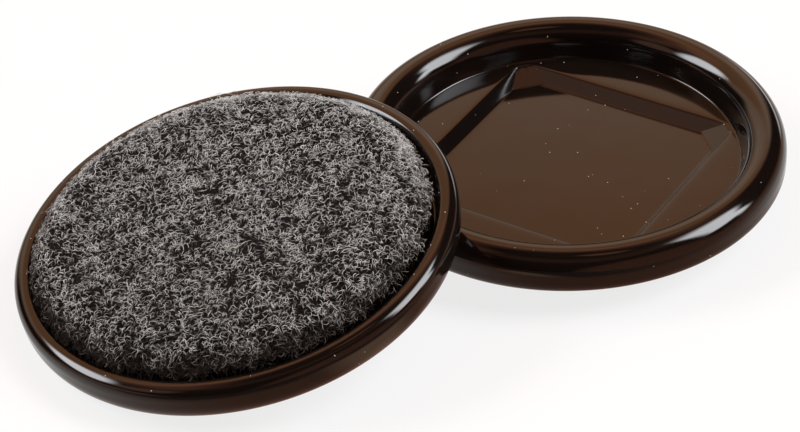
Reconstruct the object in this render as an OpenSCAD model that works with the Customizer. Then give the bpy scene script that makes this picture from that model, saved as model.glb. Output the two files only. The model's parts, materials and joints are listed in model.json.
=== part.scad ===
// Pair of carpet-bottomed caster cups. One cup stands on its pad, and the
// second lies upside down with its rim on the table and on the first cup's rim.
// Origin: centre of the upright cup's pad, on the floor. +Z is up, in millimetres.

/* [Cup moulding] */
// Diameter of the round recess that takes a caster wheel or a round foot
recess_d = 63.5; // [58:0.5:72]
// Width of the full-round rim around the recess
rim_w = 7.25; // [6.5:0.25:9]
// Height of the moulding from its foot ring to the crest of its rim
cup_h = 7.4; // [7:0.1:12]
// Thickness of the base plate and of the dish that is pressed down in it
base_t = 1.4; // [1.2:0.1:1.9]
// Fillet where the recess wall meets the ledge
ledge_fillet = 0.6; // [0.4:0.1:1.1]
// Wall between the recess and the coring groove under the rim
recess_wall_t = 1.6; // [1.2:0.1:2]
// Width of the foot ring, from the outside to the coring groove
foot_w = 3.1; // [2.6:0.1:3.6]
// Rounding of the foot ring's outer edge
foot_round = 1.75; // [1:0.25:2.25]
// Wall left above the coring groove, under the crest
crest_t = 2.2; // [1.6:0.1:3]

/* [Square dish] */
// Gap between the dish's corners and the wall of the round recess
dish_corner_gap = 0.2; // [0.1:0.1:3]
// Depth of the dish below the ledge
dish_depth = 2.2; // [1:0.1:2.4]
// How far the sloping walls run in from the dish's edge
dish_run = 1.7; // [1.4:0.1:5]
// Radius of the corners of the dish's floor
dish_floor_r = 8; // [2:0.5:10]

/* [Carpet pad] */
// Open gap between the pad's edge and the foot ring
pad_gap = 1.3; // [0.6:0.1:1.6]
// How far the pad stands out below the foot ring
pad_drop = 4.5; // [3.8:0.1:6]
// Width of the pad's rounded edge
pad_edge_run = 6.6; // [5:0.2:9]
// Height of the pad's cut edge, next to the moulding
pad_cut_edge = 0.4; // [0.2:0.1:1]
// Clearance between the pad's pocket and the dish that sits in it
pocket_gap = 0.3; // [0.1:0.1:0.6]

/* [Adhesive film] */
// Thickness of the film between the dish's underside and the pad
film_t = 0.3; // [0.2:0.05:0.5]
// How far the film stays inside the edge of the dish's underside
film_inset = 1; // [0.5:0.5:4]

/* [Leaning cup] */
// Overlap of the two cups, seen from above
lean_overlap = 13.5; // [9:0.5:24]
// Direction from the upright cup to the leaning one, from +X towards +Y
lean_azimuth = 238.2; // [180:0.2:300]
// Clearance where the leaning rim lies on the upright rim
rest_gap = 0.2; // [0.1:0.05:0.5]

/* [Colours] */
// Moulded plastic
plastic_colour = "#3a2015"; // [#3a2015, #1c1a19, #6b5a48]
// Needle-punched carpet
carpet_colour = "#8d8781"; // [#8d8781, #4d4a47, #b5a893]
// Adhesive film
film_colour = "#d9cfae"; // [#d9cfae, #e8e6e0]

/* [Hidden] */
$fn = 96;
recess_r = recess_d / 2;
outer_r = recess_r + rim_w;
rim_r = rim_w / 2;
rim_mid_r = recess_r + rim_r;
foot_z = pad_drop;
ledge_z = foot_z + base_t;
crest_z = foot_z + cup_h;
rim_mid_z = crest_z - rim_r;
groove_in_r = recess_r + recess_wall_t;
groove_out_r = outer_r - foot_w;
groove_r = (groove_out_r - groove_in_r) / 2;
groove_mid_r = groove_in_r + groove_r;
groove_top_z = crest_z - crest_t;
dish_half = (recess_r - dish_corner_gap) / sqrt(2);
dish_floor_half = dish_half - dish_run;
dish_floor_z = ledge_z - dish_depth;
pad_r = groove_out_r - pad_gap;
pad_flat_r = pad_r - pad_edge_run;
pad_round_h = pad_drop - pad_cut_edge;
// Radius of the arc that leaves the flat underside level and ends at the cut edge
pad_arc_r = (pad_edge_run * pad_edge_run + pad_round_h * pad_round_h) / (2 * pad_round_h);
film_half = dish_floor_half - film_inset;
film_r = max(dish_floor_r - film_inset, 0.5);
film_top_z = dish_floor_z - base_t;
slice = 0.01;
lean_dist = 2 * outer_r - lean_overlap;

// The rims are round, so they touch where the circles through the middles of the
// rims come within one rim's width. The leaning rim also touches the floor.
function lean_mid_z(tilt) = rim_mid_r * sin(tilt) + rim_r;
function lean_rim_point(tilt, a) = [
    lean_dist + rim_mid_r * cos(a) * cos(tilt),
    rim_mid_r * sin(a),
    lean_mid_z(tilt) - rim_mid_r * cos(a) * sin(tilt)
];
function to_upright_rim(p) = norm([norm([p.x, p.y]) - rim_mid_r, p.z - rim_mid_z]);
function rim_clearance(tilt) =
    min([for (a = [90:0.5:180]) to_upright_rim(lean_rim_point(tilt, a))]) - rim_w - rest_gap;
// Tilt at which the clearance is just met, found by halving an interval
function resting_tilt(low, high, steps) =
    let (middle = (low + high) / 2)
    steps == 0 ? middle :
    rim_clearance(middle) < 0 ? resting_tilt(middle, high, steps - 1) :
    resting_tilt(low, middle, steps - 1);
lean_tilt = resting_tilt(0, 45, 24);

// Square with round corners, centred on the axis
module round_square(half, r) {
    union() {
        square([2 * half, 2 * (half - r)], center = true);
        square([2 * (half - r), 2 * half], center = true);
        for (x = [-1, 1], y = [-1, 1])
            translate([x * (half - r), y * (half - r)]) circle(r);
    }
}

// Dish that is sharp-cornered at its top edge and round-cornered at its floor
module dish_form(top_z, grow, depth) {
    hull() {
        translate([0, 0, top_z - slice])
            linear_extrude(slice) square(2 * (dish_half + grow), center = true);
        translate([0, 0, top_z - depth])
            linear_extrude(slice) round_square(dish_floor_half + grow, dish_floor_r, $fn = 32);
    }
}

// Half section of the moulding: full-round rim on a skirt, base plate and ledge
// fillet, with a groove cored out of the rim from below
module moulding_section() {
    difference() {
        union() {
            translate([rim_mid_r, rim_mid_z]) circle(rim_r);
            translate([recess_r, foot_z + foot_round])
                square([rim_w, rim_mid_z - foot_z - foot_round]);
            translate([recess_r, foot_z]) square([rim_w - foot_round, rim_mid_z - foot_z]);
            translate([outer_r - foot_round, foot_z + foot_round]) circle(foot_round);
            translate([0, foot_z]) square([recess_r + recess_wall_t, base_t]);
            difference() {
                translate([recess_r - ledge_fillet, ledge_z - slice])
                    square([ledge_fillet + slice, ledge_fillet + slice]);
                translate([recess_r - ledge_fillet, ledge_z + ledge_fillet])
                    circle(ledge_fillet);
            }
        }
        translate([groove_in_r, foot_z - 1])
            square([2 * groove_r, groove_top_z - groove_r - foot_z + 1]);
        translate([groove_mid_r, groove_top_z - groove_r]) circle(groove_r);
    }
}

module cup_moulding() {
    difference() {
        union() {
            rotate_extrude() moulding_section();
            dish_form(foot_z, 0, dish_depth);
        }
        dish_form(ledge_z, 0, dish_depth);
        translate([0, 0, ledge_z - slice])
            linear_extrude(ledge_fillet) square(2 * dish_half, center = true);
    }
}

module cup_adhesive() {
    translate([0, 0, film_top_z - film_t])
        linear_extrude(film_t) round_square(film_half, film_r);
}

// Half section of the pad: flat underside, rounded edge and a short cut edge
module pad_section() {
    square([pad_flat_r, pad_drop]);
    intersection() {
        translate([pad_flat_r, pad_arc_r]) circle(pad_arc_r);
        translate([pad_flat_r - slice, 0]) square([pad_edge_run + slice, pad_round_h]);
    }
    translate([pad_flat_r - slice, pad_round_h - slice])
        square([pad_edge_run + slice, pad_cut_edge + slice]);
}

module cup_pad() {
    difference() {
        rotate_extrude() pad_section();
        dish_form(foot_z, pocket_gap, dish_depth + film_t);
    }
}

// Turns a cup over and lays it on the floor and on the upright rim
module leaning() {
    rotate([0, 0, lean_azimuth])
        translate([lean_dist, 0, lean_mid_z(lean_tilt)])
            rotate([0, lean_tilt, 0]) rotate([180, 0, 0])
                translate([0, 0, -rim_mid_z]) children();
}

module upright_moulding() { color(plastic_colour) cup_moulding(); }
module upright_adhesive() { color(film_colour) cup_adhesive(); }
module upright_pad() { color(carpet_colour) cup_pad(); }
module leaning_moulding() { color(plastic_colour) leaning() cup_moulding(); }
module leaning_adhesive() { color(film_colour) leaning() cup_adhesive(); }
module leaning_pad() { color(carpet_colour) leaning() cup_pad(); }

upright_moulding();
upright_adhesive();
upright_pad();
leaning_moulding();
leaning_adhesive();
leaning_pad();
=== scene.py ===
import json
import bmesh
import bpy
import numpy as np
from math import atan2, copysign, cos, pi, radians, sin, sqrt, tan
from mathutils import Matrix, Vector

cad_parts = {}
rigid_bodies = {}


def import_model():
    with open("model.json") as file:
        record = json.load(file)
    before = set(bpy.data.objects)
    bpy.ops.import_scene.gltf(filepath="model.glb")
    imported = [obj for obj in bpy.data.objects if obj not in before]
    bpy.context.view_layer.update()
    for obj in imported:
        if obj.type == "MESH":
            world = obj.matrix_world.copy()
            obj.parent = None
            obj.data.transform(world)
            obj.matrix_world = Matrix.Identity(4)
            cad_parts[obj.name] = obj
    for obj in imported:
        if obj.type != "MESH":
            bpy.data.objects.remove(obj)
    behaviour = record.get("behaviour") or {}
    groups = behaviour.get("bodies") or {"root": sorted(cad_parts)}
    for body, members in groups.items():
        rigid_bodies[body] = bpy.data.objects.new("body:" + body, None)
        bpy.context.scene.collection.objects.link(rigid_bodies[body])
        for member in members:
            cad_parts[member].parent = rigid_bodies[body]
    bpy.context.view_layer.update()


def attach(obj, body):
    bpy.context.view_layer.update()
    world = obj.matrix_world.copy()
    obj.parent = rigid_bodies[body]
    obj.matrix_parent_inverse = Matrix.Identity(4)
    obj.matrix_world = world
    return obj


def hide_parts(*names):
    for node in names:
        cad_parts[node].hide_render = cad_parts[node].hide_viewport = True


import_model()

mm = 0.001

# Upright cup's moulding
# One piece of polished dark brown plastic, moulded with a full-round rim on a foot ring.
# A square dish is pressed into its base, and a groove is cored under its rim.
recess_r = 31.75 * mm
rim_w = 7.25 * mm
rim_r = rim_w / 2
rim_mid_r = recess_r + rim_r
outer_r = recess_r + rim_w
foot_z = 4.5 * mm
foot_w = 3.7 * mm
foot_slope_w = 0.9 * mm
foot_slope_h = 0.75 * mm
foot_round = 2.1 * mm
base_t = 1.4 * mm
ledge_z = foot_z + base_t
ledge_fillet = 0.4 * mm
wall_draft = 14
crest_z = 11.9 * mm
rim_mid_z = crest_z - rim_r
recess_wall_t = 1.6 * mm
crest_t = 2.2 * mm
groove_in_r = recess_r + recess_wall_t
groove_out_r = outer_r - foot_w
groove_r = (groove_out_r - groove_in_r) / 2
groove_end_z = crest_z - crest_t - groove_r
draft = radians(wall_draft)
wall_top_r = rim_mid_r - rim_r * cos(draft)
wall_top_z = rim_mid_z + rim_r * sin(draft)
wall_foot_z = ledge_z + ledge_fillet * (1 - sin(draft))
wall_foot_r = wall_top_r - (wall_top_z - wall_foot_z) * tan(draft)
ledge_r = wall_foot_r - ledge_fillet * cos(draft)
edge_soft = 0.3 * mm
dish_corner_gap = 0.2 * mm
dish_half = (recess_r - dish_corner_gap) / sqrt(2)
dish_corner_cut = 1.85 * mm
dish_run = 1.6 * mm
dish_floor_half = dish_half - dish_run
dish_floor_cut = 4.5 * mm
dish_depth = 2.2 * mm
dish_lip = 0.45 * mm
dish_crease = 0.1 * mm
dish_cells = 18
near = 0.02 * mm
line_reach = 0.2 * mm
small_turn = radians(0.1)


def pick(test):
    """Selects the vertices of the edited mesh whose place passes a test, with what they enclose."""
    form = bmesh.from_edit_mesh(bpy.context.object.data)
    for vert in form.verts:
        vert.select = bool(test(vert.co))
    form.select_flush_mode()
    bmesh.update_edit_mesh(bpy.context.object.data)


def ring_out(r, z, r_before, z_before):
    """Draws the selected open ring on to the next radius and height of the profile."""
    bpy.ops.mesh.extrude_edges_move()
    bpy.ops.transform.resize(value=(r / r_before, r / r_before, 1))
    bpy.ops.transform.translate(value=(0, 0, z - z_before))


def arc(mid_r, mid_z, radius, start, end, steps):
    """Points of a round in the profile, set out a little, as subdivision draws them back in."""
    step = radians(end - start) / steps
    spread = radius * 3 / (2 + cos(step))
    turns = [radians(start) + step * i for i in range(steps + 1)]
    return [(mid_r + spread * cos(a), mid_z + spread * sin(a)) for a in turns]


bpy.ops.object.select_all(action="DESELECT")
bpy.ops.mesh.primitive_grid_add(
    x_subdivisions=dish_cells, y_subdivisions=dish_cells, size=2 * dish_half
)
cup = bpy.context.object
cup.name = "upright_cup_moulding"
bpy.ops.object.mode_set(mode="EDIT")
bpy.ops.mesh.select_mode(type="VERT")

# The grid's inside goes down to the dish's floor. The edges of the dish and of its floor are
# squares with their corners cut off. The dish's edge has more cells, so its cuts take one more step.
edge_steps = 3
floor_steps = 2
inner_half = dish_half * (1 - 2 / dish_cells)


def cut_square(edge_half, cells, half, cut, cut_steps):
    """Moves a square loop to a half width, with its corners cut off over a number of steps."""
    form = bmesh.from_edit_mesh(bpy.context.object.data)
    for vert in form.verts:
        wide = max(abs(vert.co.x), abs(vert.co.y))
        if abs(wide - edge_half) > near:
            continue
        short = min(abs(vert.co.x), abs(vert.co.y))
        steps_in = round((edge_half - short) * cells / (2 * edge_half))
        if steps_in < cut_steps:
            out = half - cut / 2 * (1 - steps_in / cut_steps)
            side = half - cut / 2 * (1 + steps_in / cut_steps)
        else:
            out = half
            side = (half - cut) * (cells / 2 - steps_in) / (cells / 2 - cut_steps)
        x_leads = abs(vert.co.x) >= abs(vert.co.y)
        vert.co.x = (out if x_leads else side) * (1 if vert.co.x > 0 else -1)
        vert.co.y = (side if x_leads else out) * (1 if vert.co.y > 0 else -1)
    bmesh.update_edit_mesh(bpy.context.object.data)


pick(lambda p: max(abs(p.x), abs(p.y)) < inner_half + near)
bpy.ops.transform.translate(value=(0, 0, -dish_depth))
cut_square(dish_half, dish_cells, dish_half, dish_corner_cut, edge_steps)
cut_square(inner_half, dish_cells - 2, dish_floor_half, dish_floor_cut, floor_steps)
pick(lambda p: abs(p.z + dish_depth) < near)
bpy.ops.mesh.select_less()
bpy.ops.mesh.vertices_smooth(factor=0.5, repeat=20)
bpy.ops.mesh.select_all(action="SELECT")
bpy.ops.transform.translate(value=(0, 0, ledge_z))

# The underside of the dish is the same form, one wall thickness lower.
bpy.ops.mesh.duplicate_move()
bpy.ops.transform.translate(value=(0, 0, -base_t))
bpy.ops.mesh.flip_normals()
bpy.ops.mesh.hide()

# The dish's edge is drawn out to the round ledge, then up, over the rim and down to the foot.
profile = arc(ledge_r, ledge_z + ledge_fillet, ledge_fillet, -90, -wall_draft, 4)
profile += [((wall_foot_r + wall_top_r) / 2, (wall_foot_z + wall_top_z) / 2)]
profile += arc(rim_mid_r, rim_mid_z, rim_r, 180 - wall_draft, 0, 12)
profile += [(outer_r, (foot_z + foot_round + rim_mid_z) / 2)]
profile += arc(outer_r - foot_round, foot_z + foot_round, foot_round, 0, -90, 5)
profile += [(groove_out_r + foot_slope_w + edge_soft / 2, foot_z)]
for part in (0.9, 0.1):
    profile += [(groove_out_r + foot_slope_w * part, foot_z + foot_slope_h * (1 - part))]
profile += [(groove_out_r, foot_z + foot_slope_h + edge_soft)]
profile += arc(groove_in_r + groove_r, groove_end_z, groove_r, 0, 180, 8)
profile += [(groove_in_r, foot_z + 2 * edge_soft), (groove_in_r, foot_z + edge_soft)]
profile += [(groove_in_r - edge_soft, foot_z), (groove_in_r - 2 * edge_soft, foot_z)]
spread = 3 / (2 + cos(2 * pi / (4 * dish_cells)))
profile = [(r * spread, z) for r, z in profile]


def open_edge():
    """Selects the edge at which the mesh in sight is open."""
    bpy.ops.mesh.select_all(action="DESELECT")
    bpy.ops.mesh.select_non_manifold(extend=False)


def even_ring(r):
    """Spreads the selected loop evenly on a circle, from the vertex on the X axis."""
    form = bmesh.from_edit_mesh(bpy.context.object.data)
    loop = [vert for vert in form.verts if vert.select]
    loop.sort(key=lambda vert: (atan2(vert.co.y, vert.co.x) + small_turn) % (2 * pi))
    for i, vert in enumerate(loop):
        turn = 2 * pi * i / len(loop)
        vert.co.xy = (r * cos(turn), r * sin(turn))
    bmesh.update_edit_mesh(bpy.context.object.data)


open_edge()
bpy.ops.mesh.extrude_edges_move()
even_ring(profile[0][0])
for (r_before, z_before), (r, z) in zip(profile[:-1], profile[1:]):
    ring_out(r, z, r_before, z_before)


def sharpen_cuts(top):
    """Brings the cut corners' ends on to straight lines from lip to floor, and keeps them sharp."""
    form = bmesh.from_edit_mesh(bpy.context.object.data)
    for vert in form.verts:
        share = (top - vert.co.z) / dish_depth
        wide = dish_half + share * (dish_floor_half - dish_half)
        short = wide - dish_corner_cut - share * (dish_floor_cut - dish_corner_cut)
        line = (wide, short) if abs(vert.co.x) > abs(vert.co.y) else (short, wide)
        off = max(abs(abs(vert.co.x) - line[0]), abs(abs(vert.co.y) - line[1]))
        vert.select = 0 < share < 1 and off < line_reach
        if vert.select:
            vert.co.xy = (copysign(line[0], vert.co.x), copysign(line[1], vert.co.y))
    form.select_flush_mode()
    bmesh.update_edit_mesh(bpy.context.object.data)
    bpy.ops.transform.edge_crease(value=1)
    bpy.ops.mesh.mark_sharp()


# The base's underside closes the wall. The dish's lip is rounded, its floor ends in a crease,
# and its cut corners stay sharp at their ends.
bpy.ops.mesh.reveal(select=False)
open_edge()
bpy.ops.mesh.bridge_edge_loops()
for top in (ledge_z, foot_z):
    pick(lambda p: abs(p.z - top) < near and p.xy.length < ledge_r)
    bpy.ops.mesh.bevel(offset=dish_lip, offset_type="OFFSET", segments=3, affect="EDGES")
    pick(lambda p: abs(p.z - top + dish_depth) < near and p.xy.length < ledge_r)
    bpy.ops.mesh.region_to_loop()
    bpy.ops.mesh.bevel(offset=dish_crease, offset_type="OFFSET", segments=2, affect="EDGES")
    sharpen_cuts(top)
bpy.ops.mesh.select_all(action="SELECT")
bpy.ops.mesh.normals_make_consistent(inside=False)
bpy.ops.object.mode_set(mode="OBJECT")
smooth = cup.modifiers.new("smooth", "SUBSURF")
smooth.levels = 2
smooth.render_levels = 2
bpy.ops.object.modifier_apply(modifier=smooth.name)
bpy.ops.object.shade_smooth()


class Shade:
    """One value in a node tree. Sums that are written with it add the tree's Math nodes."""

    def __init__(self, tree, socket=None):
        self.tree = tree
        self.socket = socket

    def node(self, kind, settings=None, sockets=None, out=0):
        """Adds a node: its settings first, then the values or links of its sockets."""
        made = self.tree.nodes.new(kind)
        for name, value in (settings or {}).items():
            if name == "stops":
                stops = made.color_ramp.elements
                while len(stops) < len(value):
                    stops.new(1)
                for stop, (place, colour) in zip(stops, value):
                    stop.position = place
                    stop.color = (*colour, 1)
            else:
                setattr(made, name, value)
        for name, value in (sockets or {}).items():
            if isinstance(value, Shade):
                self.tree.links.new(value.socket, made.inputs[name])
            else:
                made.inputs[name].default_value = value
        return Shade(self.tree, made.outputs[out])

    def sum(self, operation, *terms):
        return self.node("ShaderNodeMath", {"operation": operation}, dict(enumerate(terms)))

    def __add__(self, other):
        return self.sum("ADD", self, other)

    __radd__ = __add__

    def __sub__(self, other):
        return self.sum("SUBTRACT", self, other)

    def __rsub__(self, other):
        return self.sum("SUBTRACT", other, self)

    def __mul__(self, other):
        return self.sum("MULTIPLY", self, other)

    __rmul__ = __mul__

    def __truediv__(self, other):
        return self.sum("DIVIDE", self, other)

    def __lt__(self, other):
        return self.sum("LESS_THAN", self, other)

    def __gt__(self, other):
        return self.sum("GREATER_THAN", self, other)

    def step(self, low, high):
        """Goes smoothly from 0 to 1 as this value goes from low to high."""
        limits = {"Value": self, "From Min": low, "From Max": high}
        return self.node("ShaderNodeMapRange", {"interpolation_type": "SMOOTHSTEP"}, limits)

    def between(self, first, second):
        """The colour that lies this far from the first one to the second."""
        ends = [(*c, 1) if isinstance(c, tuple) else c for c in (first, second)]
        return self.node("ShaderNodeMix", {"data_type": "RGBA"}, {0: self, 6: ends[0], 7: ends[1]}, 2)

    def noise(self, place, size, detail=2.0, roughness=0.5):
        """Cloudy noise of the given feature size."""
        sockets = {"Vector": place, "Scale": 1 / size, "Detail": detail, "Roughness": roughness}
        return self.node("ShaderNodeTexNoise", None, sockets)

    def place(self):
        """The place on the piece, in metres."""
        return self.node("ShaderNodeTexCoord", out=3)

    def bump(self, depth, normal=None):
        """A normal that this height, from 0 to 1, bends as if it were that deep."""
        sockets = {"Height": self, "Distance": depth}
        if normal:
            sockets["Normal"] = normal
        return self.node("ShaderNodeBump", None, sockets)

    def feed(self, socket):
        self.tree.links.new(self.socket, socket)


def new_finish(name):
    """A node material with its shader node, and the start of its sums."""
    material = bpy.data.materials.new(name)
    material.use_nodes = True
    return material, material.node_tree.nodes["Principled BSDF"].inputs, Shade(material.node_tree)


# The plastic is nearly black in its depth and mirrors what is around it. It has the long
# waves of a moulded skin, and specks of dust lie on it.
plastic_deep = (0.005, 0.0035, 0.0029)
plastic_pale = (0.008, 0.005, 0.0038)
dust_colour = (0.52, 0.49, 0.45)
dust_spacing = 2.5 * mm
dust_r = 0.1 * mm
tone_size = 16 * mm
wave_size = 11 * mm
wave_depth = 0.03 * mm
skin_size = 0.9 * mm
skin_depth = 0.0008 * mm
plastic, plastic_in, shade = new_finish("polished_brown_plastic")
place = shade.place()
tone = shade.noise(place, tone_size)
waves = shade.noise(place, wave_size, 1.0)
skin = shade.noise(place, skin_size, 2.0)
speck_sockets = {"Vector": place, "Scale": 1 / dust_spacing}
speck = shade.node("ShaderNodeTexVoronoi", None, speck_sockets) < dust_r / dust_spacing
speck.between(tone.between(plastic_deep, plastic_pale), dust_colour).feed(plastic_in["Base Color"])
(0.05 + 0.03 * tone + 0.02 * skin + 0.5 * speck).feed(plastic_in["Roughness"])
skin.bump(skin_depth, waves.bump(wave_depth)).feed(plastic_in["Normal"])
cup.data.materials.append(plastic)
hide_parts("upright_moulding")
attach(cup, "upright_cup")

# Adhesive films
# A film of pale contact adhesive holds each carpet pad to the underside of its dish.
# Its shape is the CAD node's own.
film_pale = (0.62, 0.53, 0.32)
film_amber = (0.42, 0.31, 0.14)
blotch_size = 5 * mm
ripple_size = 1.5 * mm
ripple_depth = 0.1 * mm
film, film_in, shade = new_finish("dried_contact_adhesive")
place = shade.place()
ripple = shade.noise(place, ripple_size, 3.0)
shade.noise(place, blotch_size).between(film_pale, film_amber).feed(film_in["Base Color"])
(0.35 + 0.3 * ripple).feed(film_in["Roughness"])
ripple.bump(ripple_depth).feed(film_in["Normal"])
for name in ("upright_adhesive", "leaning_adhesive"):
    node = bpy.data.objects[name]
    node.data.materials.clear()
    node.data.materials.append(film)

# Upright cup's carpet pad
# A felted disc of needle-punched carpet, with a pocket for the dish that it is glued to.
# Cloth swells it, at a scale at which its pressure works, and its loose pile is separate.
pad_gap = 0.1 * mm
pad_edge_run = 6.6 * mm
pad_cut_edge = 0.4 * mm
pad_r = groove_out_r - pad_gap
pad_flat_r = pad_r - pad_edge_run
pad_round_h = foot_z - pad_cut_edge
pad_arc_r = ((pad_r - pad_flat_r) ** 2 + pad_round_h ** 2) / (2 * pad_round_h)
pad_arc_turn = atan2(pad_r - pad_flat_r, pad_arc_r - pad_round_h)
pile = 0.75 * mm
pocket_gap = 0.8 * mm
pocket_half = dish_half + pocket_gap
film_t = 0.3 * mm
pocket_depth = dish_depth + film_t
pad_arc_steps = 6
swell_scale = 20
swell_pressure = 4
swell_steps = 20
swell_cap = 0.25 * mm
glued_rim = 0.2 * mm
glued_floor = 0.3 * mm
felt_voxel = 1.1 * mm
bpy.ops.object.select_all(action="DESELECT")
bpy.ops.mesh.primitive_grid_add(
    x_subdivisions=dish_cells, y_subdivisions=dish_cells, size=2 * pocket_half
)
pad = bpy.context.object
pad.name = "upright_carpet_pad"
bpy.ops.object.mode_set(mode="EDIT")
inner_half = pocket_half * (1 - 2 / dish_cells)
pick(lambda p: max(abs(p.x), abs(p.y)) < inner_half + near)
bpy.ops.transform.translate(value=(0, 0, -pocket_depth))
cut_square(pocket_half, dish_cells, pocket_half, dish_corner_cut, edge_steps)
cut_square(inner_half, dish_cells - 2, dish_floor_half + pocket_gap, dish_floor_cut, floor_steps)
bpy.ops.mesh.select_all(action="SELECT")
bpy.ops.transform.translate(value=(0, 0, foot_z))

# The pocket's edge is drawn out to the cut edge, down the rounded edge and in under the pad.
felt_arc_r = pad_arc_r - pile
turns = [pad_arc_turn * (1 - i / pad_arc_steps) for i in range(pad_arc_steps + 1)]
profile = [(pad_flat_r + felt_arc_r * sin(a), pad_arc_r - felt_arc_r * cos(a)) for a in turns]
profile = [(profile[0][0], foot_z)] + profile
open_edge()
bpy.ops.mesh.extrude_edges_move()
even_ring(profile[0][0])
for (r_before, z_before), (r, z) in zip(profile[:-1], profile[1:]):
    ring_out(r, z, r_before, z_before)
bpy.ops.mesh.edge_face_add()
bpy.ops.mesh.select_all(action="SELECT")
bpy.ops.mesh.normals_make_consistent(inside=False)
bpy.ops.object.mode_set(mode="OBJECT")
bpy.ops.transform.resize(value=(swell_scale, swell_scale, swell_scale), center_override=(0, 0, 0))
bpy.ops.object.transform_apply(location=True, rotation=True, scale=True)
pad.data.remesh_voxel_size = felt_voxel * swell_scale
bpy.ops.object.voxel_remesh()

# The side towards the moulding is held by the glue, and the rest swells.
flat_felt = np.empty(3 * len(pad.data.vertices))
pad.data.vertices.foreach_get("co", flat_felt)
flat_felt = flat_felt.reshape(-1, 3)
glued = pad.vertex_groups.new(name="glued")
held = flat_felt[:, 2] > (foot_z - glued_rim) * swell_scale
in_pocket = np.abs(flat_felt[:, :2]).max(axis=1) < (pocket_half + near) * swell_scale
held |= in_pocket & (flat_felt[:, 2] > (foot_z - pocket_depth - glued_floor) * swell_scale)
glued.add(np.flatnonzero(held).tolist(), 1.0, "REPLACE")
swell = pad.modifiers.new("swell", "CLOTH")
swell.settings.use_pressure = True
swell.settings.uniform_pressure_force = swell_pressure
swell.settings.vertex_group_mass = glued.name
swell.settings.effector_weights.gravity = 0
for step in range(1, swell_steps + 1):
    bpy.context.scene.frame_set(step)
bpy.ops.object.modifier_apply(modifier=swell.name)
bpy.context.scene.frame_set(1)
swollen = np.empty(flat_felt.size)
pad.data.vertices.foreach_get("co", swollen)
moved = swollen.reshape(-1, 3) - flat_felt
length = np.linalg.norm(moved, axis=1, keepdims=True)
moved *= np.minimum(1, swell_cap * swell_scale / np.maximum(length, near))
pad.data.vertices.foreach_set("co", (flat_felt + moved).ravel())
bpy.ops.transform.resize(value=(1 / swell_scale,) * 3, center_override=(0, 0, 0))
bpy.ops.object.transform_apply(location=True, rotation=True, scale=True)
smooth = pad.modifiers.new("smooth", "SUBSURF")
smooth.levels = 1
smooth.render_levels = 1
bpy.ops.object.modifier_apply(modifier=smooth.name)
bpy.ops.object.shade_smooth()
pad.vertex_groups.clear()

# The felt is painted near-black, as painted shade between the fibres, with finer fibres matted into it.
painted_shade_dark = (0.006, 0.005, 0.0045)
felt_pale = (0.035, 0.032, 0.03)
mat_size = 0.5 * mm
mat_depth = 0.3 * mm
felt, felt_in, shade = new_finish("matted_carpet_felt")
place = shade.place()
mat = shade.noise(place, mat_size, 3.0, 0.65)
mat.step(0.5, 0.75).between(painted_shade_dark, felt_pale).feed(felt_in["Base Color"])
felt_in["Roughness"].default_value = 0.95
felt_in["Specular IOR Level"].default_value = 0.1
mat.bump(mat_depth).feed(felt_in["Normal"])
pad.data.materials.append(felt)
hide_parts("upright_pad")
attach(pad, "upright_cup")

# Upright cup's carpet pile
# Loose curly fibres that lie on the felt in tangled loops, some pale grey and some brown.
# Each is a thin three-sided tube with pointed ends, laid on the pad's form from a flat
# drawing of its curl.
fibre_segments = 5
fibre_sides = 3
fibre_r = 0.05 * mm
fibre_root = 0.05 * mm
floor_gap = 0.03 * mm
tries_each = 12
thin_share = 0.3
shortest_share = 0.4
lowest_share = 0.3
least_free = 0.55
thinnest = 0.7
thickest = 1.3
curl_tight_mm = 0.35
curl_wide_mm = 1.4
wander = 0.45
arch_power = 0.8
tip_taper = 0.6
clump_sizes_mm = (2.5, 3, 3.5, 4, 4.5, 5, 6, 7, 9, 12)
clump_softness = 6
# Painted light and shade: the pile is painted paler towards this side and darker near the pad's edge.
lit_side = np.array([-0.76, 0.65])
edge_w = 4 * mm
tone_spread = 0.06
patch_tone = 0.3
edge_shade_tone = 0.24
lit_side_tone = 0.28
tone_shift = 0.09
chart_step = 0.002
pad_reach = pad_flat_r + pad_arc_r * pad_arc_turn


def on_pad(across, depth):
    """Places on the pad of points in its flat drawing, at a depth below the outermost pile."""
    out = np.maximum(np.hypot(across[..., 0], across[..., 1]), near)
    turn = np.clip((out - pad_flat_r) / pad_arc_r, 0, pad_arc_turn)
    over = np.maximum(out - pad_flat_r - pad_arc_r * pad_arc_turn, 0)
    r = np.minimum(out, pad_flat_r) + (pad_arc_r - depth) * np.sin(turn) + over * np.cos(turn)
    z = pad_arc_r - (pad_arc_r - depth) * np.cos(turn) + over * np.sin(turn)
    return np.concatenate([across * (r / out)[..., None], z[..., None]], axis=-1)


def clumps(across, chance):
    """A field from 0 to 1 of thick and thin patches, from waves in chance directions."""
    field = np.zeros(len(across))
    for size in clump_sizes_mm:
        turn = chance.uniform(0, 2 * pi)
        wave = np.array([cos(turn), sin(turn)]) * 2 * pi / (size * mm)
        field += np.sin(across @ wave + chance.uniform(0, 2 * pi))
    return np.clip(0.5 + field / clump_softness, 0, 1)


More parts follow.
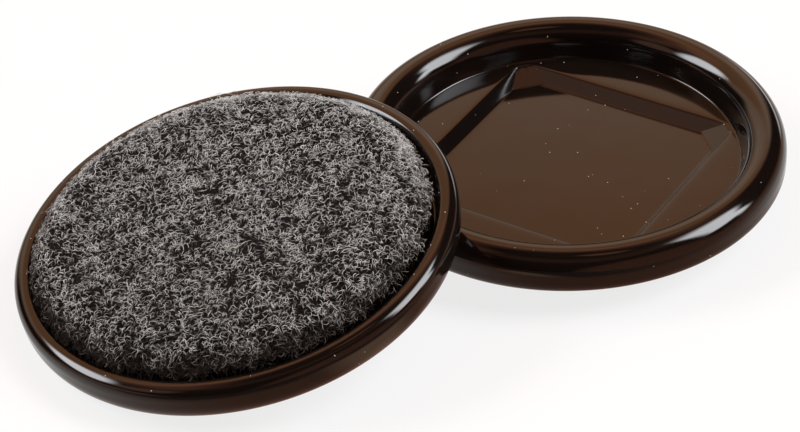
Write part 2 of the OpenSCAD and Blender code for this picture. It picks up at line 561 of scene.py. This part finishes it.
def lay_fibres(name, count, seed, inner_r, longest, reach, tones):
    """A piece with that many fibres, which start outside a radius and rise at most that far."""
    chance = np.random.default_rng(seed)
    start = chance.uniform(-pad_reach, pad_reach, (count * tries_each, 2))
    out = np.hypot(start[:, 0], start[:, 1])
    thick = clumps(start, np.random.default_rng(7))
    drawn = chance.uniform(0, 1, len(start)) < thin_share + (1 - thin_share) * thick
    kept = (out > inner_r) & (out < pad_reach) & drawn
    start = start[kept][:count]
    thick = thick[kept][:count]
    count = len(start)
    length = chance.uniform(shortest_share, 1, count) * longest
    curl = chance.choice([-1, 1], count) / (chance.uniform(curl_tight_mm, curl_wide_mm, count) * mm)
    heading = chance.uniform(0, 2 * pi, count)
    flip = chance.integers(2, 2 * fibre_segments, count)
    lift = reach * chance.uniform(lowest_share, 1, count)
    free = chance.uniform(least_free, 1, count)
    ring = np.arange(fibre_segments + 1)
    step = length / fibre_segments
    bend = np.where(ring[None, :] < flip[:, None], 1, -1) * (curl * step)[:, None]
    bend = bend + chance.normal(0, wander, bend.shape)
    course = heading[:, None] + np.cumsum(bend, axis=1)
    ahead = np.stack([np.cos(course), np.sin(course)], axis=-1)
    middle = start[:, None, :] + np.cumsum(ahead * step[:, None, None], axis=1)
    arch = np.sin(pi * ring[None, :] / fibre_segments * free[:, None]) ** arch_power
    depth = pile + fibre_root - lift[:, None] * arch
    taper = 1 - tip_taper * (ring / fibre_segments) ** 3
    thickness = fibre_r * chance.uniform(thinnest, thickest, count)[:, None] * taper[None, :]
    aside = np.stack([-ahead[..., 1], ahead[..., 0]], axis=-1)
    points = []
    for side in range(fibre_sides):
        turn = 2 * pi * side / fibre_sides
        shift = aside * (thickness * cos(turn))[..., None]
        points.append(on_pad(middle + shift, depth - thickness * sin(turn)))
    body = np.stack(points, axis=2)[:, 1:-1].reshape(count, -1, 3)
    ends = on_pad(middle[:, [0, -1]], depth[:, [0, -1]])
    points = np.concatenate([ends[:, :1], body, ends[:, 1:]], axis=1)
    points[..., 2] = np.maximum(points[..., 2], floor_gap)

    # The faces of one fibre are repeated for all of them, by counting on its points.
    tip = 1 + (fibre_segments - 1) * fibre_sides
    walls = []
    tips = []
    for side in range(fibre_sides):
        beside = (side + 1) % fibre_sides
        tips.append((0, 1 + beside, 1 + side))
        tips.append((tip - fibre_sides + side, tip - fibre_sides + beside, tip))
        for low in range(1, tip - fibre_sides, fibre_sides):
            high = low + fibre_sides
            walls.append((low + side, low + beside, high + beside, high + side))
    base = np.arange(count)[:, None, None] * (tip + 1)
    faces = (base + np.array(walls)).reshape(-1, 4).tolist()
    faces += (base + np.array(tips)).reshape(-1, 3).tolist()
    mesh = bpy.data.meshes.new(name)
    mesh.from_pydata(points.reshape(-1, 3), [], faces)
    tone = chance.choice(tones, count) + chance.uniform(-tone_spread, tone_spread, count)
    tone += patch_tone * (0.5 - thick)
    # Painted light and shade on the random tones: darker towards the pad's edge, most of all away from
    # the lit side, and paler towards the lit side.
    side = (start @ lit_side) / pad_reach
    edge = np.clip(1 - (pad_reach - np.hypot(start[:, 0], start[:, 1])) / edge_w, 0, 1)
    tone += edge_shade_tone * edge * (2 - side) - lit_side_tone * side - tone_shift
    ring_of = np.concatenate([[0], np.repeat(ring[1:-1], fibre_sides), [fibre_segments]])
    shift = chart_step * np.concatenate([[1], np.tile(np.arange(fibre_sides), fibre_segments - 1), [1]])
    u = np.clip(tone, 0.01, 0.98)[:, None] + shift[None, :]
    # The chart's second coordinate is each ring's height in the pile, which the fibre material turns
    # into painted shade.
    v = np.clip(1 - depth / pile, 0, 1)[:, ring_of]
    places = np.stack([u, v], axis=-1).reshape(-1, 2)
    corners = np.empty(len(mesh.loops), dtype=np.int32)
    mesh.loops.foreach_get("vertex_index", corners)
    mesh.uv_layers.new(name="OFBake").data.foreach_set("uv", places[corners].ravel())
    piece = bpy.data.objects.new(name, mesh)
    bpy.context.scene.collection.objects.link(piece)
    bpy.ops.object.select_all(action="DESELECT")
    piece.select_set(True)
    bpy.context.view_layer.objects.active = piece
    bpy.ops.object.shade_smooth()
    return piece


fibre_tones = [
    (0.0, (0.86, 0.9, 0.89)),
    (0.35, (0.53, 0.555, 0.545)),
    (0.6, (0.2, 0.195, 0.182)),
    (0.8, (0.055, 0.041, 0.031)),
    (1.0, (0.014, 0.0095, 0.007)),
]
fibre, fibre_in, shade = new_finish("curly_carpet_fibre")
chart = shade.node("ShaderNodeUVMap", {"uv_map": "OFBake"})
tint_part = shade.node("ShaderNodeSeparateXYZ", None, {0: chart})
shade_height = shade.node("ShaderNodeSeparateXYZ", None, {0: chart}, 1)
tint = shade.node("ShaderNodeValToRGB", {"stops": fibre_tones}, {0: tint_part})
# Painted shade: each fibre is darker the deeper it lies in the pile, down to the felt's near-black.
shade_height.step(0.18, 0.78).between(painted_shade_dark, tint).feed(fibre_in["Base Color"])
fibre_in["Roughness"].default_value = 0.7
fibre_in["Specular IOR Level"].default_value = 0.3
edge_r = pad_reach - edge_w
short = 2.1 * mm
# The lots have random tones; the lower lots get darker ones, partly their own colour and partly painted
# shade deep in the pile.
pile_lots = (
    lay_fibres("upright_pad_low_fibres", 4500, 11, 0, short, 0.7 * pile, (0.5, 0.7, 0.85, 0.95)),
    lay_fibres("upright_pad_dark_fibres", 7500, 15, 0, short, 0.9 * pile, (0.25, 0.5, 0.75, 0.95)),
    lay_fibres("upright_pad_grey_fibres", 8000, 12, 0, short, 1.1 * pile, (0.02, 0.1, 0.25, 0.6)),
    lay_fibres("upright_pad_pale_fibres", 8000, 14, 0, short, 1.3 * pile, (0.01, 0.05, 0.12)),
    lay_fibres("upright_pad_edge_fibres", 4000, 13, edge_r, short, 1.1 * mm, (0.3, 0.5, 0.7, 0.9)),
)
for lot in pile_lots:
    lot.data.materials.append(fibre)
    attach(lot, "upright_cup")

# Leaning cup
# A second cup like the first, with its own pad and pile. It lies upside down, with one side
# of its rim on the floor and the other on the upright cup's rim.
lean_azimuth = radians(238.2)
lean_tilt = radians(10.2983)
lean_overlap = 13.5 * mm
lean_dist = 2 * outer_r - lean_overlap
lean_mid_z = rim_mid_r * sin(lean_tilt) + rim_r
lean_placing = (
    Matrix.Rotation(lean_azimuth, 4, "Z")
    @ Matrix.Translation((lean_dist, 0, lean_mid_z))
    @ Matrix.Rotation(lean_tilt, 4, "Y")
    @ Matrix.Rotation(pi, 4, "X")
    @ Matrix.Translation((0, 0, -rim_mid_z))
)


def lay_over(piece, name, placing):
    """A copy of an upright cup's piece with its own mesh, laid where the leaning cup's lies."""
    bpy.ops.object.select_all(action="DESELECT")
    piece.select_set(True)
    bpy.context.view_layer.objects.active = piece
    bpy.ops.object.duplicate(linked=False)
    laid = bpy.context.object
    laid.name = name
    laid.parent = None
    for fact in list(laid.keys()):
        del laid[fact]
    laid.matrix_world = placing
    bpy.ops.object.transform_apply(location=True, rotation=True, scale=True)
    return laid


leaning_cup = lay_over(cup, "leaning_cup_moulding", lean_placing)
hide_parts("leaning_moulding")
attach(leaning_cup, "leaning_cup")

# Its pad is glued a little off the middle, so one side of the foot ring's inner slope shows.
pad_off = 0.7 * mm
pad_off_turn = radians(337)
pad_shift = Vector((cos(pad_off_turn), sin(pad_off_turn), 0)) * pad_off
pad_placing = lean_placing @ Matrix.Translation(pad_shift)
leaning_pad = lay_over(pad, "leaning_carpet_pad", pad_placing)
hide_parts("leaning_pad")
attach(leaning_pad, "leaning_cup")
for lot in pile_lots:
    laid_lot = lay_over(lot, lot.name.replace("upright", "leaning"), pad_placing)
    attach(laid_lot, "leaning_cup")

# A few long fibres have come loose at the edge of the leaning pad and lie over the foot ring.
long = 5 * mm
strays = lay_fibres("leaning_pad_stray_fibres", 60, 16, edge_r, long, 2 * mm, (0.1, 0.3, 0.5))
strays.data.transform(pad_placing)
strays.data.materials.append(fibre)
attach(strays, "leaning_cup")

# Floor and light
# A white floor under a studio sky, which is painted on the world by direction. The sky has a
# warm backdrop, a dim room and two soft boxes, one on each side of the camera.
view_turn = radians(33.57)


def aim(azimuth, elevation):
    """A direction, from straight away from the camera towards its right, and up from the floor."""
    flat = cos(radians(elevation))
    turn = radians(azimuth)
    level = Vector((sin(turn) * flat, cos(turn) * flat, sin(radians(elevation))))
    return Matrix.Rotation(view_turn, 3, "Z") @ level


box_colour = (10.5, 10.6, 10.9)
flag_colour = (2.2, 2.2, 2.2)
backdrop_low = (0.42, 0.27, 0.17)
backdrop_middle = (1.16, 0.76, 0.53)
backdrop_high = (1.04, 0.48, 0.22)
warm_colour = (0.45, 0.18, 0.1)
low_warm_colour = (0.75, 0.4, 0.29)
world = bpy.data.worlds.new("studio")
bpy.context.scene.world = world
world.use_nodes = True
light = Shade(world.node_tree)
ray = light.node("ShaderNodeTexCoord")


def along(direction):
    """How far the ray goes in a direction, as a cosine."""
    sockets = {0: ray, 1: tuple(direction)}
    return light.node("ShaderNodeVectorMath", {"operation": "DOT_PRODUCT"}, sockets, 1)


def lit(colour, strength):
    """A colour at a strength that changes over the sky."""
    sockets = {0: colour, "Scale": strength}
    return light.node("ShaderNodeVectorMath", {"operation": "SCALE"}, sockets)


def both(first, second):
    """The sum of two lights."""
    return light.node("ShaderNodeVectorMath", {"operation": "ADD"}, {0: first, 1: second})


azimuth = light.sum("ARCTAN2", along(aim(90, 0)), along(aim(0, 0)))
elevation = light.sum("ARCSINE", along((0, 0, 1)))


def rising(angle, low, high):
    """Goes from 0 to 1 between two angles in degrees."""
    return angle.step(radians(low), radians(high))


# The backdrop is dark at its foot and redder at its top, and reaches further to the left higher up.
backdrop_left = light.sum("MAXIMUM", rising(azimuth, -50, -36), rising(elevation, 18, 30))
backdrop = backdrop_left * rising(azimuth, -72, -54) * (1 - rising(azimuth, 16, 30))
backdrop = backdrop * (1 - rising(elevation, 52, 66))
drape = rising(elevation, 4, 24).between(backdrop_low, backdrop_middle)
drape = rising(elevation, 33.5, 37.5).between(drape, backdrop_high)
sky = lit(drape, backdrop)

# The room gives a dim warm light from above and from the right of the camera.
ceiling = 0.5 + rising(azimuth, -125, -105) * (1 - rising(azimuth, 30, 60))
ceiling = ceiling * rising(elevation, 44, 58) * (1 - rising(elevation, 60, 76))
front = along(aim(145, 0)).step(0.75, 0.9) * rising(elevation, -8, 2) * (1 - rising(elevation, 60, 80))
sky = both(sky, lit(warm_colour, ceiling + front))


def patch(azimuth, elevation, tilt, half_wide, half_high):
    """A soft oval in the sky of the given half sizes, tilted up to its right."""
    ahead = along(aim(azimuth, elevation))
    across = along(aim(azimuth + 90, 0))
    up = along(aim(azimuth, elevation + 90))
    wide = (across * cos(radians(tilt)) + up * sin(radians(tilt))) / sin(radians(half_wide))
    high = (up * cos(radians(tilt)) - across * sin(radians(tilt))) / sin(radians(half_high))
    off = light.sum("SQRT", wide * wide + high * high)
    return (1 - off.step(0.6, 1.12)) * (ahead > 0)


# Two soft boxes are the main light. The right one is cut off at its right, at its lower left
# and at its lower right.
cut = light.sum("MAXIMUM", rising(azimuth, 79, 84), rising(azimuth + 1.57 * elevation, 132, 143))
low_right = rising(azimuth, 86, 94) * (1 - rising(elevation, 20, 28))
cut = cut * (1 - rising(azimuth, 104, 114)) * (1 - low_right)
boxes = patch(93, 38, -20, 30, 24) * cut + patch(-80, 35, 26, 24, 11.5)
sky = both(sky, lit(box_colour, boxes))

# Dim warm patches and a small pale flag are mirrored beside the boxes. The camera sees plain white.
sky = both(sky, lit(low_warm_colour, patch(-116, 34, 0, 15, 15) + patch(-108, 3, 0, 34, 10)))
sky = both(sky, lit(warm_colour, patch(78, 0, 0, 42, 12) + 2 * patch(90, 82, 0, 7, 7)))
sky = both(sky, lit(flag_colour, patch(30, 1, 0, 14, 7)))
sees = light.node("ShaderNodeLightPath")
background = world.node_tree.nodes["Background"]
sees.between(sky, (1, 1, 1)).feed(background.inputs["Color"])

# The camera sees the floor white, with a faint shadow. In the cups' reflections it glows instead with
# painted
# light and shade: pale behind them, warm near their front and dark further out.
bpy.ops.object.select_all(action="DESELECT")
bpy.ops.mesh.primitive_plane_add(size=4)
floor = bpy.context.object
floor.name = "floor"
pale_floor = (0.9, 0.89, 0.88)
dull_floor_shade = (0.5, 0.37, 0.28)
near_floor_shade = (0.4, 0.16, 0.085)
far_floor_shade = (0.03, 0.02, 0.015)
beside_floor_light = (1.0, 0.57, 0.35)
floor_finish, floor_in, shade = new_finish("white_floor")
floor_in["Base Color"].default_value = (0.9, 0.9, 0.9, 1)
floor_in["Roughness"].default_value = 1
floor_in["Specular IOR Level"].default_value = 0
matt = Shade(shade.tree, shade.tree.nodes["Principled BSDF"].outputs[0])
camera_ray = shade.node("ShaderNodeLightPath")
glossy_ray = shade.node("ShaderNodeLightPath", out=3)
through_ray = shade.node("ShaderNodeLightPath", out=6)
spot = shade.place()


def floor_along(azimuth):
    """How far a spot on the floor lies from the upright cup in a direction, in metres."""
    sockets = {0: spot, 1: tuple(aim(azimuth, 0))}
    return shade.node("ShaderNodeVectorMath", {"operation": "DOT_PRODUCT"}, sockets, 1)


from_upright = shade.node("ShaderNodeVectorMath", {"operation": "LENGTH"}, {0: spot}, 1)
lean_middle = lean_placing.translation * Vector((1, 1, 0))
lean_sockets = {0: spot, 1: tuple(lean_middle)}
from_leaning = shade.node("ShaderNodeVectorMath", {"operation": "DISTANCE"}, lean_sockets, 1)
from_cups = shade.sum("MINIMUM", from_upright, from_leaning) - outer_r
beyond = from_cups.step(8 * mm, 22 * mm) * (1 - floor_along(90).step(0, 60 * mm))
beside = 1 - from_leaning.step(outer_r + 14 * mm, outer_r + 28 * mm)
beside = beside * floor_along(90).step(-40 * mm, -24 * mm)
beside = beside * (1 - floor_along(0).step(-60 * mm, -48 * mm))
front_floor = beside.between(beyond.between(near_floor_shade, far_floor_shade), beside_floor_light)
back_floor = from_cups.step(15 * mm, 60 * mm).between(pale_floor, dull_floor_shade)
back_right = floor_along(0).step(-45 * mm, 10 * mm)
back_left = floor_along(-25).step(-45 * mm, 0)
behind = shade.sum("MAXIMUM", back_right, back_left)
painted_floor_light_and_shade = behind.between(front_floor, back_floor)
# Painted reflection: reflected rays mostly see this glowing colour of the floor instead of its lit
# white.
glow_colour = glossy_ray.between((1, 1, 1), painted_floor_light_and_shade)
glow = shade.node("ShaderNodeEmission", None, {"Color": glow_colour, "Strength": 1})
shown = 0.8 * (camera_ray + through_ray) + 0.95 * glossy_ray
mixed = shade.node("ShaderNodeMixShader", None, {0: shown, 1: matt, 2: glow})
mixed.feed(shade.tree.nodes["Material Output"].inputs["Surface"])
floor.data.materials.append(floor_finish)

# Camera
# A long lens at the photograph's viewing angle, from the front and above, with a slight roll.
# Its place was fitted to the outlines of both cups.
camera_place = (0.21871, -0.38483, 0.32279)
camera_lens = 136.35
camera_dip = 36.64
camera_roll = -3.05
camera_data = bpy.data.cameras.new("camera")
camera_data.lens = camera_lens
camera = bpy.data.objects.new("camera", camera_data)
bpy.context.scene.collection.objects.link(camera)
camera.matrix_world = (
    Matrix.Translation(camera_place)
    @ Matrix.Rotation(view_turn, 4, "Z")
    @ Matrix.Rotation(radians(90 - camera_dip), 4, "X")
    @ Matrix.Rotation(radians(camera_roll), 4, "Z")
)
bpy.context.scene.camera = camera
bpy.context.scene.view_settings.view_transform = "Standard"
